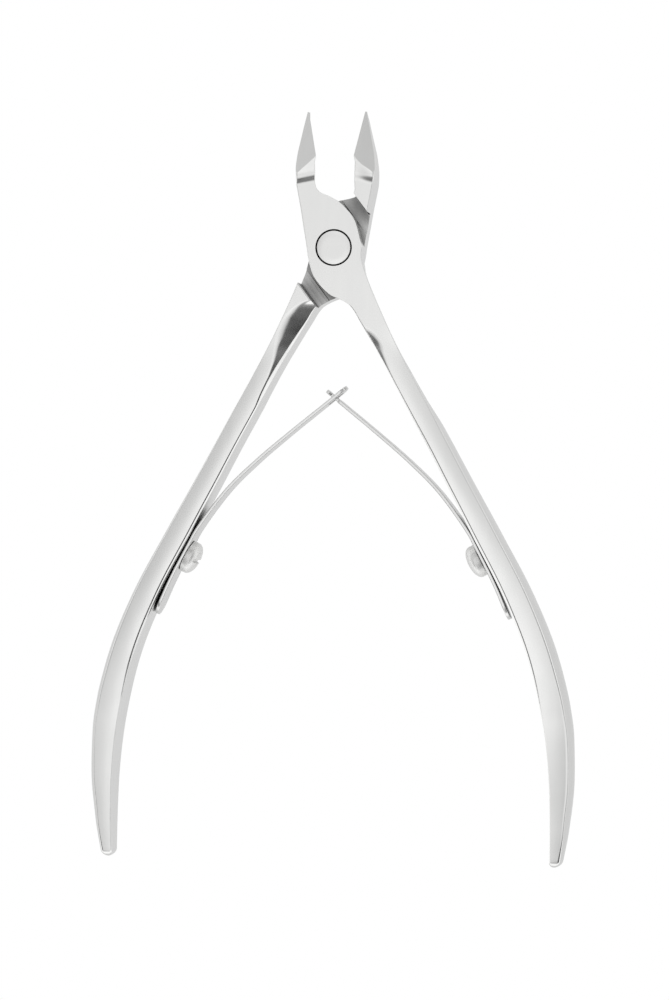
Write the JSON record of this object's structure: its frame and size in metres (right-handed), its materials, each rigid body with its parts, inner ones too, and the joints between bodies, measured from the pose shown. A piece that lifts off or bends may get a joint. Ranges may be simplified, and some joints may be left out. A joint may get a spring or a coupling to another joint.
{
  "type": "cuticle nipper",
  "caption": "Hand nipper with a half-lap joint, two narrow angled cutting jaws, long curved handles and interlocking leaf springs that hold it open.",
  "frame": {"origin": "where the pivot axis meets the rear face of the joint", "axes": "+Y from the pivot towards the jaw tips, +Z out of the front face along the pivot axis, +X to the right seen from the front"},
  "size_m": [0.0712, 0.1093, 0.0065],
  "materials": {
    "polished_steel": "fine satin polish on forged stainless steel",
    "rivet_steel": "flush ground, fine satin",
    "spring_steel": "rolled spring strip, lightly polished",
    "screw_steel": "turned domed head, matt nickel sheen"
  },
  "bodies": {
    "front_lever": {"front_lever": "polished_steel", "pivot_rivet": "rivet_steel", "front_spring_screw": "screw_steel"},
    "rear_lever": {"rear_lever": "polished_steel", "rear_spring_screw": "screw_steel"},
    "front_spring": {"front_leaf_spring": "spring_steel"},
    "rear_spring": {"rear_leaf_spring": "spring_steel"}
  },
  "joints": [
    {"name": "pivot", "type": "hinge", "parent": "front_lever", "child": "rear_lever", "pos_m": [0, 0, 0.00325], "axis": [0, 0, 1], "range_deg": [0, 23.2], "stiffness_Nm_per_rad": 0.9},
    {"name": "front_leaf_flex", "type": "hinge", "parent": "front_lever", "child": "front_spring", "pos_m": [0.0188, -0.0398, 0.00325], "axis": [0, 0, 1], "range_deg": [-11.5, 0], "deforming": ["front_leaf_spring"]},
    {"name": "rear_leaf_flex", "type": "hinge", "parent": "rear_lever", "child": "rear_spring", "pos_m": [-0.0188, -0.0398, 0.00325], "axis": [0, 0, 1], "range_deg": [0, 11.5], "deforming": ["rear_leaf_spring"]}
  ],
  "couplings": [
    {"joint": "front_leaf_flex", "follows": "pivot", "ratio": -0.4765},
    {"joint": "rear_leaf_flex", "follows": "pivot", "ratio": 0.4765}
  ]
}
